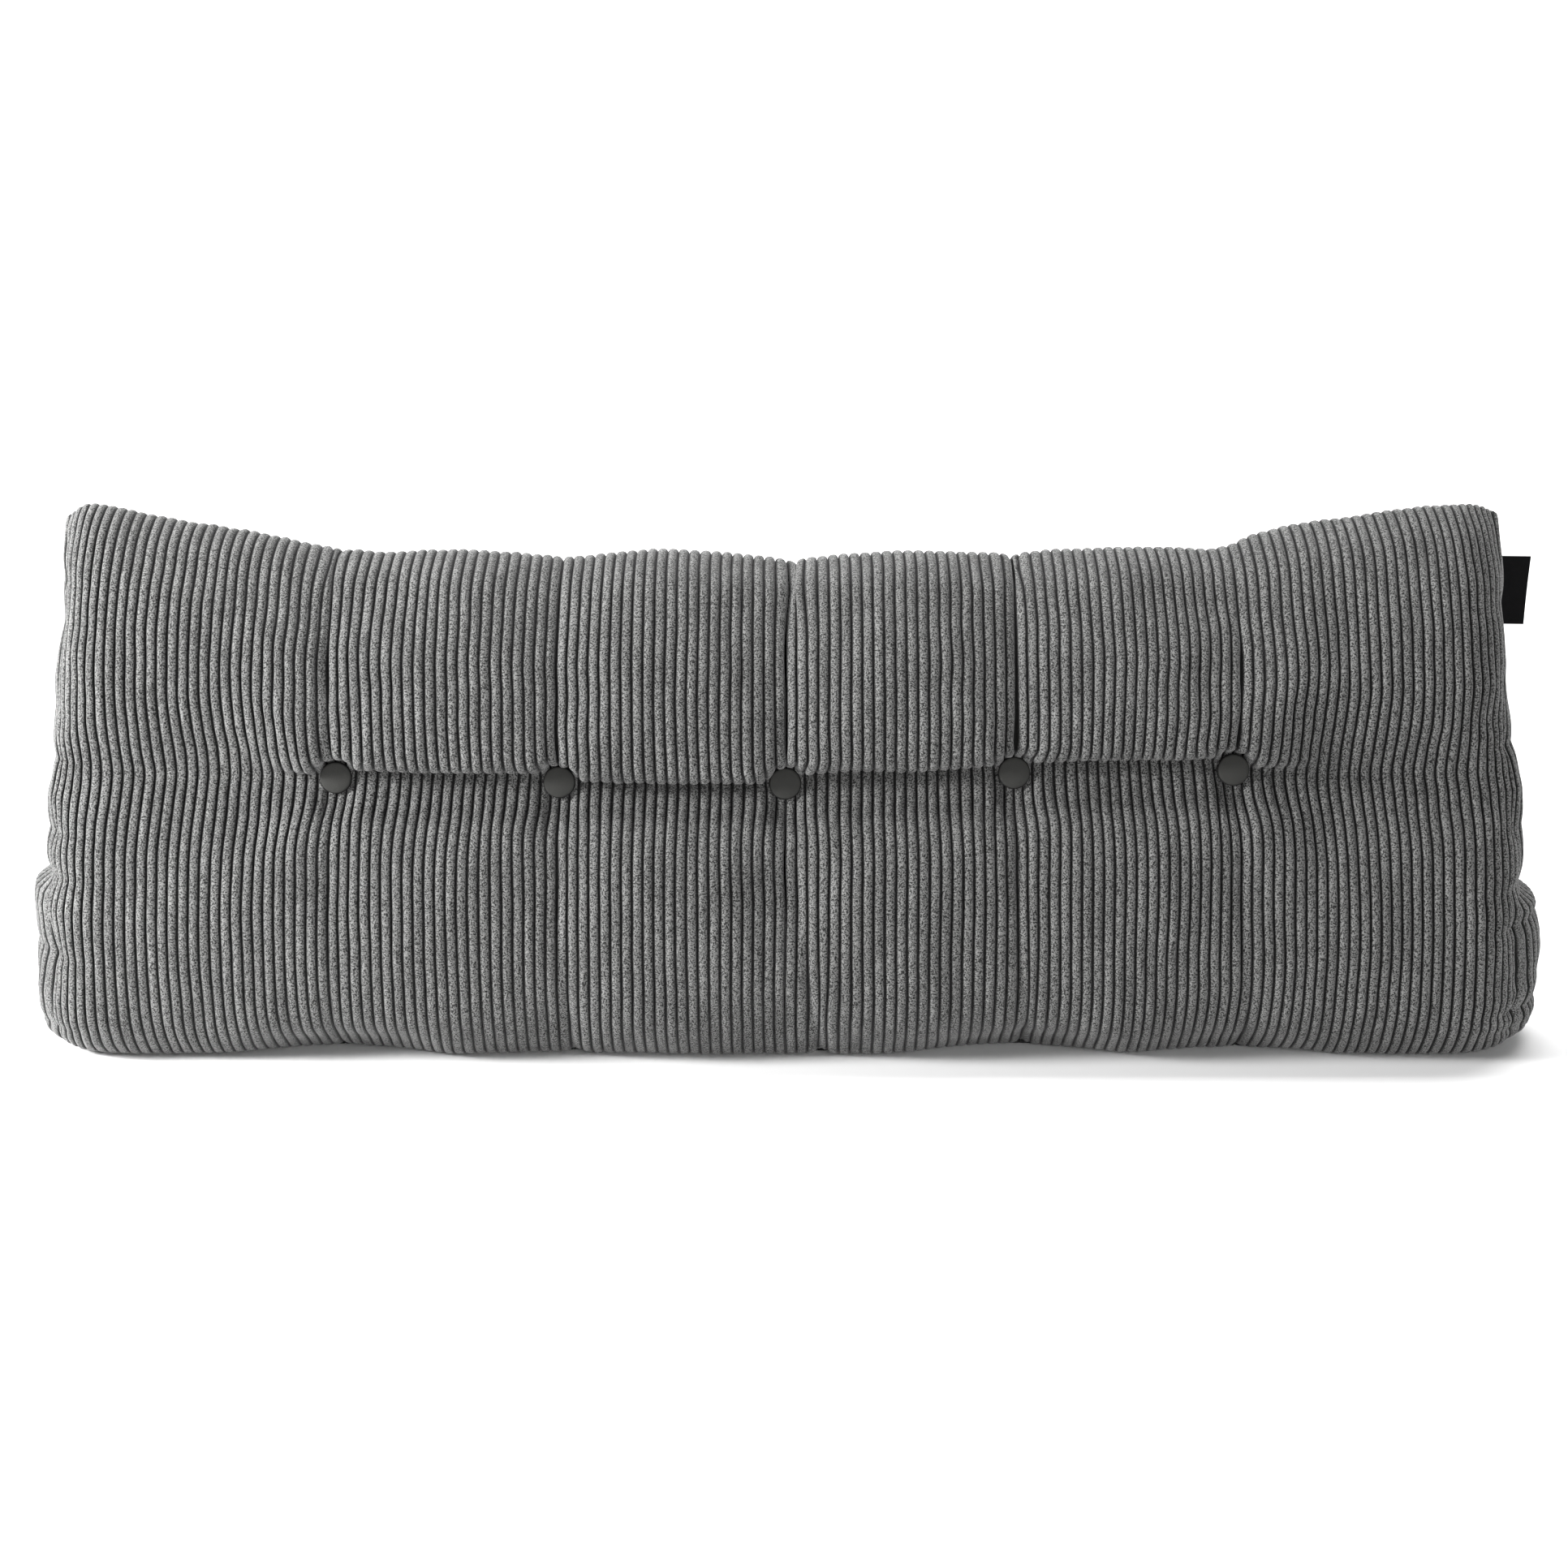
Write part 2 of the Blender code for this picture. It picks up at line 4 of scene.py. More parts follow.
import bmesh
import bpy
import numpy as np
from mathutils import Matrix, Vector


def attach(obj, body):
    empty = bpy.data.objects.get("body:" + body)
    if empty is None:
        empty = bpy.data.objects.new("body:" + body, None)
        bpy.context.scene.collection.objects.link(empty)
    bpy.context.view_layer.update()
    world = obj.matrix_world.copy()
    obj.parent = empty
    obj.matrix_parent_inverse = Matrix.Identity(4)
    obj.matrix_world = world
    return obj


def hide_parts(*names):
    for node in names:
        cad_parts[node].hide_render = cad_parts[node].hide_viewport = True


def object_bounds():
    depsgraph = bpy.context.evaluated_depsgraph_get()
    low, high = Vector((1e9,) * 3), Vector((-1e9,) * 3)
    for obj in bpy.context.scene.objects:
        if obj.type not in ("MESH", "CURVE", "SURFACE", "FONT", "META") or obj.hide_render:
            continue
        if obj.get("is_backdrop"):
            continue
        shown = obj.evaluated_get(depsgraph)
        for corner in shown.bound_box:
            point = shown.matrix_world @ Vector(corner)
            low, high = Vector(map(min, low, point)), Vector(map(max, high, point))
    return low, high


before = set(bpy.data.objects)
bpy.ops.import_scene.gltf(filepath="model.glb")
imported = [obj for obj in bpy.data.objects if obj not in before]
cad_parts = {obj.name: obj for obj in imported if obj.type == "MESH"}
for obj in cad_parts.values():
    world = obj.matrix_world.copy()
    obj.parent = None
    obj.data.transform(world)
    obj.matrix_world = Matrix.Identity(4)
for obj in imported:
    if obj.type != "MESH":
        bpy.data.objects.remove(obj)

cad_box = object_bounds()

# The camera: sensor and lens in millimetres, and where it stands
SENSOR_MM = 36.0
LENS_MM = 50.0
CAMERA_PIVOT = Vector((-0.0045, 0.0, 0.265))
CAMERA_DISTANCE = 2.14
CAMERA_ELEVATION = math.radians(16.0)

# Corduroy: wales are counted from the middle tuft
WALES_BETWEEN_TUFTS = 21
WALES_OUTSIDE_TUFTS = 28
ROLL_WALES = 7
MIDDLE_TUFT = 2
HALF_WALES = MIDDLE_TUFT * WALES_BETWEEN_TUFTS + WALES_OUTSIDE_TUFTS
OUTER_WALE_PITCH = 0.01034
WALE_HEIGHT = 0.0044
COLUMNS_PER_WALE = 8
ROWS_PER_STATION = 14
BACK_ROWS_PER_STATION = 5

# The wales' section: how flat its top is, and how round its sides
WALE_FLATNESS = 2.6
WALE_ROUNDNESS = 0.6
WALE_SWELL = 0.12

# Unevenness of the cloth: its size, how many wales and how much of a station one lump spans,
# and its own place in the noise
Uneven = namedtuple("Uneven", "size wales per_station start seed")
WANDER = Uneven(0.0008, 5.0, 1.1, 40.0, 5)
SOFT_LUMPS = Uneven(0.0016, 6.0, 0.9, 90.0, 11)
FINE_LUMPS = Uneven(0.0007, 1.7, 1.6, 10.0, 12)
ROUGH_START = Uneven(0.0008, 3.0, 0.8, 7.0, 41)

# Ends: the cover rolls round into the end seams, spreads at the foot and draws in at the head
ROLL_ANGLE = math.radians(65.0)
ROLL_WIDTH = 0.059
CORNER_START_X = 0.688
CORNER_WIDTH = 0.022
CORNER_DROP = 0.008
BASE_SPREAD = 0.012
SPREAD_HEIGHT = 0.164
FOOT_SPREAD = 0.006
END_START_X = 0.60
HALF_WIDTH = 0.71
HEAD_DRAW_LEFT = 0.004
HEAD_DRAW_RIGHT = 0.010
HEAD_LOW_Z = 0.28
HEAD_BLEND = 0.08
FOOT_HEIGHT = 0.11

# How far the top edge rises along the pillow
Rim = namedtuple("Rim", "x lift")
RIM = (
    Rim(-0.70, 0.056),
    Rim(-0.60, 0.037),
    Rim(-0.50, 0.023),
    Rim(-0.44, 0.015),
    Rim(-0.40, 0.010),
    Rim(-0.22, 0.006),
    Rim(-0.14, 0.009),
    Rim(-0.02, 0.005),
    Rim(0.07, 0.004),
    Rim(0.20, 0.011),
    Rim(0.36, 0.0115),
    Rim(0.41, 0.014),
    Rim(0.46, 0.029),
    Rim(0.55, 0.041),
    Rim(0.62, 0.050),
    Rim(0.70, 0.055),
)

# Tufts
MIDDLE_X = -0.004
TUFT_SHARPNESS = 1.8
SEAT_HALF_WIDTH = 0.0112
OUTER_START = 0.434
OUTER_BLEND = 0.095
GATHER = 0.0020
GATHER_REACH = 0.055
SEAT_TILT = math.radians(12.0)

# How far the wales bow outwards away from the crease, by their distance from the middle
Sway = namedtuple("Sway", "x shift")
SWAYS = (
    Sway(0.0, 0.0),
    Sway(0.22, 0.002),
    Sway(0.33, 0.004),
    Sway(0.43, 0.0055),
    Sway(0.56, 0.0030),
    Sway(0.69, 0.0),
)
SWAY_HEIGHT = 0.110
SWAY_BACK_Y = -0.02
SWAY_BACK_BLEND = 0.05

# Seats of the buttons, and the buttons themselves
SEAT_Y = -0.036
SEAT_Z = 0.2813
# Radii between which a button's cover gets a painted shadow at its rim, where it sinks into the cloth
BUTTON_RIM_SHADOW = (0.0139, 0.0153)
BUTTON_CLEARANCE = 0.0042
BUTTON_FACE_RADIUS = 0.0128
BUTTON_FACE_HEIGHT = 0.0062
BUTTON_DOME = 0.0013
BUTTON_ROLL_WIDTH = 0.0027
BUTTON_ROLL_HEIGHT = 0.0030
BUTTON_ROLL_MIDDLE = 0.0032
BUTTON_ROLL_STEPS = 6
BUTTON_DOME_STEPS = 9
BUTTON_SEGMENTS = 72

# upper and lower: how deep the crease is that runs up and down from each button. foot: how far the
# base edge is drawn up below it
Tuft = namedtuple("Tuft", "name x z upper lower foot")
TUFTS = (
    Tuft("button_1", -0.4351, 0.2822, 0.9, 0.8, 1.2),
    Tuft("button_2", -0.2206, 0.2778, 0.8, 1.0, 0.3),
    Tuft("button_3", -0.0033, 0.2763, 0.9, 1.0, 0.1),
    Tuft("button_4", 0.2165, 0.2870, 1.1, 0.8, 1.3),
    Tuft("button_5", 0.4268, 0.2900, 0.85, 0.7, 0.9),
)
TUFT_X = np.array([t.x for t in TUFTS])
TUFT_Z = np.array([t.z for t in TUFTS])

# Stretches between two tufts, by their numbers, and how far the lip rises in each
Bay = namedtuple("Bay", "left right lip_rise")
BAYS = (
    Bay(0, 1, 0.007),
    Bay(1, 2, -0.001),
    Bay(2, 3, 0.007),
    Bay(3, 4, 0.010),
)

# A station's (y, z) mid-bay, through a tuft, outside the tufts and at the end seam.
# reach: how far from a tuft its pull shows. sharp: 1 where the pull is a crease, 0 a round valley.
# crease: how far it follows the tufts' height. ear: how far it rises with the ears.
# seat: 1 where it lies behind a button. relief: how much of the wale height shows.
Row = namedtuple("Row", "name bay tuft outer seam reach sharp crease ear seat relief")
FRONT = (
    Row("base_edge", (-0.042, 0.0), (-0.026, 0.0), (-0.042, 0.0), (-0.03, 0.01), 0.13, 0.4, 0, 0, 0, 0.3),
    Row("toe", (-0.069, 0.0145), (-0.057, 0.02), (-0.068, 0.0145), (-0.045, 0.022), 0.13, 0.6, 0, 0, 0, 0.9),
    Row("shin", (-0.090, 0.045), (-0.082, 0.048), (-0.088, 0.046), (-0.06, 0.047), 0.11, 0.6, 0, 0, 0, 1),
    Row("belly", (-0.0975, 0.092), (-0.094, 0.092), (-0.0955, 0.092), (-0.064, 0.092), 0.11, 0.7, 0, 0, 0, 1),
    Row("low_crown", (-0.0985, 0.14), (-0.092, 0.139), (-0.096, 0.14), (-0.064, 0.14), 0.1, 0.7, 0, 0, 0, 1),
    Row("low_brow", (-0.093, 0.19), (-0.078, 0.186), (-0.085, 0.188), (-0.058, 0.186), 0.09, 0.7, 0.2, 0, 0, 1),
    Row("shoulder", (-0.0835, 0.238), (-0.079, 0.233), (-0.072, 0.231), (-0.048, 0.222), 0.045, 0.6, 0.6, 0, 0, 1),
    Row("mouth", (-0.055, 0.262), (-0.048, 0.2585), (-0.050, 0.262), (-0.036, 0.25), 0.029, 1, 1, 0, 1, 0.9),
    Row("crease", (-0.036, 0.283), (-0.036, 0.2813), (-0.036, 0.285), (-0.026, 0.275), 0.032, 1, 1, 0, 1, 0.6),
    Row("lip", (-0.057, 0.2885), (-0.037, 0.2975), (-0.037, 0.306), (-0.018, 0.298), 0.03, 1, 1, 0.05, 1, 0.9),
    Row("lip_front", (-0.065, 0.304), (-0.053, 0.306), (-0.041, 0.331), (-0.01, 0.322), 0.036, 1, 0.8, 0.15, 0, 1),
    Row("high_low", (-0.058, 0.335), (-0.046, 0.337), (-0.041, 0.356), (0.0, 0.347), 0.06, 1, 0.5, 0.3, 0, 1),
    Row("high_mid", (-0.045, 0.366), (-0.033, 0.366), (-0.03, 0.382), (0.012, 0.376), 0.07, 1, 0.25, 0.45, 0, 1),
    Row("high_crown", (-0.03, 0.398), (-0.016, 0.396), (-0.017, 0.408), (0.028, 0.408), 0.08, 0.9, 0, 0.62, 0, 1),
    Row("high_brow", (-0.008, 0.431), (0.007, 0.427), (0.002, 0.435), (0.047, 0.436), 0.11, 0.5, 0, 0.8, 0, 1),
    Row("edge", (0.022, 0.459), (0.034, 0.453), (0.03, 0.459), (0.068, 0.457), 0.11, 0.6, 0, 0.93, 0, 1),
    Row("top", (0.066, 0.4755), (0.072, 0.469), (0.07, 0.4755), (0.085, 0.468), 0.11, 0.7, 0, 1, 0, 1),
    Row("rear_edge", (0.091, 0.468), (0.091, 0.461), (0.092, 0.468), (0.093, 0.461), 0.11, 0.7, 0, 1, 0, 0.9),
)
BACK = (
    Row("back_top", (0.0985, 0.44), (0.0985, 0.44), (0.0985, 0.44), (0.094, 0.44), 0.11, 0, 0, 1, 0, 0.8),
    Row("back_high", (0.1, 0.36), (0.1, 0.36), (0.1, 0.36), (0.094, 0.36), 0.11, 0, 0, 0.5, 0, 0.8),
    Row("back_mid", (0.1, 0.24), (0.1, 0.24), (0.1, 0.24), (0.094, 0.24), 0.11, 0, 0, 0, 0, 0.8),
    Row("back_low", (0.1, 0.09), (0.1, 0.09), (0.1, 0.09), (0.094, 0.09), 0.11, 0, 0, 0, 0, 0.8),
    Row("heel", (0.096, 0.016), (0.096, 0.016), (0.096, 0.016), (0.092, 0.022), 0.11, 0, 0, 0, 0, 0.8),
    Row("base_rear", (0.08, 0.0), (0.08, 0.0), (0.08, 0.0), (0.078, 0.008), 0.11, 0, 0, 0, 0, 0.3),
    Row("base_mid", (0.015, 0.0), (0.015, 0.0), (0.015, 0.0), (0.015, 0.008), 0.11, 0, 0, 0, 0, 0.3),
)
RING = FRONT + BACK
CREASE = [s.name for s in FRONT].index("crease")
FOOT_ROWS = ("base_edge", "toe")

# Gathers along the end seams: height, how far the wales are drawn in there, and over what height
Pucker = namedtuple("Pucker", "side z draw spread")
PUCKERS = (
    Pucker(-1, 0.462, 0.0030, 0.016),
    Pucker(-1, 0.425, 0.0050, 0.030),
    Pucker(-1, 0.345, 0.0016, 0.018),
    Pucker(-1, 0.296, 0.0034, 0.013),
    Pucker(-1, 0.262, -0.0018, 0.014),
    Pucker(-1, 0.231, 0.0036, 0.012),
    Pucker(-1, 0.190, 0.0048, 0.014),
    Pucker(-1, 0.158, -0.0020, 0.016),
    Pucker(-1, 0.114, 0.0040, 0.014),
    Pucker(-1, 0.070, -0.0012, 0.018),
    Pucker(-1, 0.034, 0.0030, 0.010),
    Pucker(1, 0.440, 0.0022, 0.018),
    Pucker(1, 0.385, -0.0012, 0.022),
    Pucker(1, 0.308, 0.0050, 0.015),
    Pucker(1, 0.268, -0.0018, 0.016),
    Pucker(1, 0.232, 0.0026, 0.014),
    Pucker(1, 0.176, 0.0046, 0.014),
    Pucker(1, 0.140, 0.0038, 0.010),
    Pucker(1, 0.098, -0.0016, 0.018),
    Pucker(1, 0.072, -0.0014, 0.010),
    Pucker(1, 0.052, 0.0052, 0.010),
    Pucker(1, 0.030, 0.0030, 0.008),
)
PUCKER_WALES = 3.4
PUCKER_FALL = 1.4
PUCKER_STRENGTH = 1.2
PUCKER_NARROWING = 0.8
PUCKER_SHARPNESS = 1.5

# Where the front ends for the gathers and tucks
FRONT_END_Y = 0.065
FRONT_END_BLEND = 0.02

# Sharp folds that run up and down from the buttons: x at the button, x at the far end, how far the
# fold bows to the left half-way, and its depth at both ends
Fold = namedtuple("Fold", "up near far bow near_depth far_depth")
FOLDS = (
    Fold(True, -0.4351, -0.4400, 0.006, 0.0030, 0.0020),
    Fold(True, -0.2206, -0.2240, 0.000, 0.0028, 0.0016),
    Fold(True, -0.0033, 0.0070, 0.003, 0.0012, 0.0045),
    Fold(True, 0.2165, 0.2200, 0.001, 0.0030, 0.0042),
    Fold(True, 0.4268, 0.4400, 0.000, 0.0030, 0.0012),
    Fold(False, -0.4351, -0.4460, 0.000, 0.0005, 0.0028),
    Fold(False, -0.2206, -0.2100, 0.004, 0.0016, 0.0050),
    Fold(False, -0.0033, 0.0345, 0.002, 0.0016, 0.0062),
    Fold(False, 0.2165, 0.2340, 0.004, 0.0016, 0.0056),
    Fold(False, 0.4268, 0.4480, 0.000, 0.0010, 0.0044),
)
FOLD_WIDTH = 0.0065
FOLD_SHARPNESS = 1.3
FOLD_START = 0.14

# Tucks where a few wales are pinched together: place, how far they are drawn in, and the reach
Tuck = namedtuple("Tuck", "x z draw width height")
TUCKS = (
    Tuck(0.0060, 0.458, 0.0055, 0.016, 0.026),
    Tuck(0.2203, 0.474, 0.0050, 0.014, 0.018),
    Tuck(-0.4453, 0.478, 0.0045, 0.016, 0.020),
    Tuck(0.0330, 0.060, 0.0030, 0.016, 0.050),
    Tuck(0.2340, 0.070, 0.0025, 0.016, 0.050),
)

# Settling of the cover: rows for each station, frames, pressure, and the furthest it moves.
# It is held for HELD_STATIONS on both sides of the crease, and where it lies on the floor
SETTLE_STEPS = 2
SETTLE_FRAMES = 20
SETTLE_PRESSURE = 4.0
SETTLE_MOST = 0.0016
HELD_STATIONS = 1.1
CREASE_STATIONS = 0.3
SEAM_WALES = 0.5
HELD_FLOOR = 0.006

# End panels
PANEL_WALE_PITCH = 0.0110
PANEL_WALE_HEIGHT = 0.0034
PANEL_ROWS = 200
PANEL_COLUMNS = 168
PANEL_THICKNESS = 0.0015
PANEL_SINK = 0.0012
PANEL_FILL = 0.002
PANEL_SEAM_FADE = 0.016
PANEL_BASE_FADE = 0.012
PANEL_LUMPS = 0.0022
PANEL_LUMP_HEIGHT = 0.035
PANEL_LUMPS_TO_A_WALE = 0.22
PANEL_LUMP_SEED = 31
BULGE_EDGE = 0.024
LEFT_FOLD_RISE = 0.020
BULGE_ROUNDNESS = 0.8
BULGE_AT_BASE = 0.15
Bulge = namedtuple("Bulge", "z left right")
BULGES = (
    Bulge(0.000, 0.024, 0.031),
    Bulge(0.030, 0.031, 0.039),
    Bulge(0.060, 0.033, 0.041),
    Bulge(0.120, 0.0325, 0.0404),
    Bulge(0.150, 0.031, 0.037),
    Bulge(0.162, 0.013, 0.017),
    Bulge(0.180, 0.016, 0.018),
    Bulge(0.240, 0.010, 0.016),
    Bulge(0.300, 0.0075, 0.012),
    Bulge(0.350, 0.010, 0.006),
    Bulge(0.420, 0.001, 0.003),
    Bulge(0.480, 0.004, 0.006),
    Bulge(0.540, 0.004, 0.004),
)

# Folded ribbon label
LABEL_WIDTH = 0.047
LABEL_HEIGHT = 0.069
LABEL_TILT = math.radians(1.0)
LABEL_PLACE = Vector((0.6945, 0.0975, 0.440))
LABEL_THICKNESS = 0.0014
RIBBON_THICKNESS = 0.0003
LABEL_CURL = 0.0022
LABEL_SET = 0.0004
LABEL_COLUMNS = 24
LABEL_ROWS = 40
LABEL_TURN_STEPS = 9

# Colours
CORDUROY_COLOR = (0.098, 0.098, 0.0963, 1.0)
BUTTON_COLOR = (0.036, 0.036, 0.034)
RIBBON_COLOR = (0.0045, 0.0045, 0.005)
# Painted shadow: how dark a button's cover is painted at its rim, where it sinks into the cloth
RIM_PAINTED_SHADOW = 0.15

# Stage: a floor, a wide curve and a wall
FLOOR_Z = -0.0005
SWEEP_START_Y = 1.2
SWEEP_RADIUS = 1.5
SWEEP_STEPS = 12
FLOOR_FRONT_Y = -6.0
WALL_TOP_Z = 6.0
STAGE_HALF_WIDTH = 7.0
STAGE_COLOR = (0.93, 0.93, 0.93, 1.0)
WORLD_STRENGTH = 0.08

Light = namedtuple("Light", "name place target size power")
LIGHTS = (
    Light("key", (-2.1, -0.68, 1.05), (0.0, 0.0, 0.25), (0.6, 0.6), 114.0),
    Light("fill", (1.1, -3.7, 1.3), (0.0, 0.0, 0.25), (2.2, 2.2), 60.0),
    Light("sweep", (0.0, 0.8, 3.6), (0.0, 2.4, 0.6), (5.0, 2.0), 260.0),
)


def smooth(value):
    value = np.clip(value, 0.0, 1.0)
    return value * value * (3.0 - 2.0 * value)


def blend(a, b, weight):
    return a + (b - a) * weight


# Shape of the cushion


def roll_angle(wale):
    return ROLL_ANGLE * np.clip((np.abs(wale) - HALF_WALES + ROLL_WALES) / ROLL_WALES, 0.0, 1.0)


def wale_x(wale):
    """X of a wale before the section's own spread."""
    last_tuft = MIDDLE_TUFT * WALES_BETWEEN_TUFTS
    side = np.sign(wale)
    count = np.abs(wale)
    knots = [(i - MIDDLE_TUFT) * WALES_BETWEEN_TUFTS for i in range(len(TUFTS))]
    x = np.interp(np.clip(wale, -last_tuft, last_tuft), knots, TUFT_X)
    x = x + side * OUTER_WALE_PITCH * np.clip(count - last_tuft, 0, WALES_OUTSIDE_TUFTS - ROLL_WALES)
    return x + side * ROLL_WIDTH * np.sin(roll_angle(wale)) / math.sin(ROLL_ANGLE)


def lip_rise(x):
    rise = np.zeros_like(x)
    for bay in BAYS:
        inside = (x >= TUFT_X[bay.left]) & (x <= TUFT_X[bay.right])
        rise = np.where(inside, bay.lip_rise, rise)
    return rise


def tuft_pull(station, x):
    """How strongly the tufts draw in each place along a station, from 0 to about 1."""
    seat = SEAT_HALF_WIDTH * station.seat
    above = station.ear > 0.0
    pull = np.zeros_like(x)
    for tuft in TUFTS:
        away = np.clip((np.abs(x - tuft.x) - seat) / (station.reach - seat), 0.0, 1.0)
        crease = (1.0 - away) ** TUFT_SHARPNESS
        valley = (1.0 - away**2) ** 2
        depth = 1.0 if station.seat else (tuft.upper if above else tuft.lower)
        if station.name in FOOT_ROWS:
            depth, crease = tuft.foot, valley
        pull = np.maximum(pull, depth * blend(valley, crease, station.sharp))
    return pull


def section_line(station, wale):
    """(x, y, z) arrays along one station."""
    x = wale_x(wale)
    outside = smooth((np.abs(x - MIDDLE_X) - OUTER_START) / OUTER_BLEND)
    roll = (1.0 - np.cos(roll_angle(wale))) / (1.0 - math.cos(ROLL_ANGLE))
    pull = tuft_pull(station, x)
    for tuft in TUFTS:
        away = np.clip((x - tuft.x) / GATHER_REACH, -1.0, 1.0)
        x = x - station.seat * GATHER * np.sin(np.pi * away)
    y, z = (blend(blend(station.bay[k], station.outer[k], outside), station.tuft[k], pull) for k in (0, 1))
    z = z + station.crease * (np.interp(x, TUFT_X, TUFT_Z) - SEAT_Z) * (1.0 - outside)
    if station.ear > 0.0 or station.name == "crease":
        z = z + station.crease * lip_rise(x) * (1.0 - pull)
    y = blend(y, station.seam[0], roll)
    z = blend(z, station.seam[1], roll)
    z = z + station.ear * np.interp(x, [r.x for r in RIM], [r.lift for r in RIM])
    corner = np.clip((np.abs(x) - CORNER_START_X) / CORNER_WIDTH, 0.0, 1.0)
    z = z - station.ear**2 * CORNER_DROP * corner**2
    spread = 1.0 + BASE_SPREAD * (1.0 - np.clip(z / SPREAD_HEIGHT, 0.0, 1.0))
    end = smooth((np.abs(x) - END_START_X) / (HALF_WIDTH - END_START_X))
    head = np.where(x > 0.0, HEAD_DRAW_RIGHT, HEAD_DRAW_LEFT) * smooth((z - HEAD_LOW_Z) / HEAD_BLEND)
    foot = FOOT_SPREAD * (1.0 - smooth(z / FOOT_HEIGHT))
    return np.stack([x * spread + np.sign(x) * end * (foot - head), y, z], axis=1)


def ring_knots(wale):
    """All stations' lines, closed: shape (stations, wales, 3). All but the crease sways out."""
    knots = np.stack([section_line(s, wale) for s in RING])
    x, y, z = knots[:, :, 0], knots[:, :, 1], knots[:, :, 2]
    shift = np.interp(np.abs(x), [s.x for s in SWAYS], [s.shift for s in SWAYS])
    away = smooth(np.abs(z - z[CREASE]) / SWAY_HEIGHT)
    away = np.maximum(away, smooth((y - SWAY_BACK_Y) / SWAY_BACK_BLEND))
    knots[:, :, 0] = x + np.sign(x) * shift * away
    return knots


def catmull(knots, place):
    """Points of the closed ring of knots at fractional station numbers."""
    count = len(knots)
    base = np.floor(place).astype(int)
    part = (place - base)[:, None, None]
    p0, p1, p2, p3 = (knots[(base + k) % count] for k in (-1, 0, 1, 2))
    return 0.5 * (
        2.0 * p1
        + (p2 - p0) * part
        + (2.0 * p0 - 5.0 * p1 + 4.0 * p2 - p3) * part**2
        + (3.0 * p1 - p0 - 3.0 * p2 + p3) * part**3
    )


def grid_normals(points):
    """Outward unit normals of a grid of points, rows running up the front and columns along +X."""
    along = np.gradient(points, axis=1)
    up = np.gradient(points, axis=0)
    normal = np.cross(along, up)
    return normal / np.maximum(np.linalg.norm(normal, axis=2, keepdims=True), 1e-12)


def wale_columns(first, last):
    """Fractional wale positions with points closer together at the grooves."""
    steps = (1.0 - np.cos(np.pi * np.arange(COLUMNS_PER_WALE) / COLUMNS_PER_WALE)) / 2.0
    places = (np.arange(first, last)[:, None] + steps[None, :]).ravel()
    return np.append(places, float(last))


def wale_profile(wale):
    """Half-round section of a wale: -0.5 in the groove and 0.5 on the ridge."""
    across = 2.0 * (wale - np.floor(wale)) - 1.0
    return np.clip(1.0 - np.abs(across) ** WALE_FLATNESS, 0.0, 1.0) ** WALE_ROUNDNESS - 0.5


def wale_inset(wale):
    """How far in from the groove, from 0 to 1 on the ridge."""
    return 1.0 - np.abs(2.0 * (wale - np.floor(wale)) - 1.0)


def lattice_noise(u, v, seed):
    """Smooth noise from -1 to 1 over two coordinates, one cell for each unit."""
    table = np.random.default_rng(seed).uniform(-1.0, 1.0, (256, 256))
    iu, iv = np.floor(u).astype(int), np.floor(v).astype(int)
    fu, fv = smooth(u - iu), smooth(v - iv)
    corner = lambda a, b: table[(iu + a) % 256, (iv + b) % 256]
    low = blend(corner(0, 0), corner(1, 0), fu)
    high = blend(corner(0, 1), corner(1, 1), fu)
    return blend(low, high, fv)


def uneven(kind, wale, place):
    """Unevenness of one kind at some wales and stations."""
    across = wale[None, :] / kind.wales + kind.start
    return kind.size * lattice_noise(across, place[:, None] * kind.per_station, kind.seed)


def mesh_object(name, points):
    """A quad grid as a smooth-shaded object."""
    rows, columns = points.shape[:2]
    index = np.arange(rows * columns).reshape(rows, columns)
    quads = np.stack([index[:-1, :-1], index[:-1, 1:], index[1:, 1:], index[1:, :-1]], axis=-1)
    data = bpy.data.meshes.new(name)
    data.from_pydata(points.reshape(-1, 3).tolist(), [], quads.reshape(-1, 4).tolist())
    data.shade_smooth()
    item = bpy.data.objects.new(name, data)
    bpy.context.scene.collection.objects.link(item)
    return item


def mark_ridges(item, height):
    """Stores how high each point lies on its wale, from 0 in the groove to 1, for the material's painted groove
    shade.
    """
    layer = item.data.attributes.new("ridge", "FLOAT", "POINT")
    layer.data.foreach_set("value", np.ascontiguousarray(height, dtype=np.float32).ravel())


def front_share(y):
    """1 on the front and 0 on the back, for the gathers and tucks."""
    return 1.0 - smooth((y - FRONT_END_Y) / FRONT_END_BLEND)


def pucker_shift(wale, y, z):
    """How far the gathers along the front's end seams move each place towards the middle."""
    near = np.exp(-((HALF_WALES - np.abs(wale)) / PUCKER_WALES) ** PUCKER_FALL) * front_share(y)
    shift = np.zeros(np.broadcast_shapes(wale.shape, z.shape))
    for pucker in PUCKERS:
        away = np.abs((z - pucker.z) / (PUCKER_NARROWING * pucker.spread))
        drawn = PUCKER_STRENGTH * pucker.draw * np.exp(-(away**PUCKER_SHARPNESS))
        shift = shift - np.where(np.sign(wale) == pucker.side, pucker.side * drawn * near, 0.0)
    return shift


def tuck_shift(x, y, z):
    """How far the tucks pinch the wales together, on the front only."""
    shift = np.zeros_like(x)
    for tuck in TUCKS:
        across = (x - tuck.x) / tuck.width
        along = (z - tuck.z) / tuck.height
        shift = shift - tuck.draw * np.tanh(3.0 * across) * np.exp(-(across**2) - along**2)
    return shift * front_share(y)


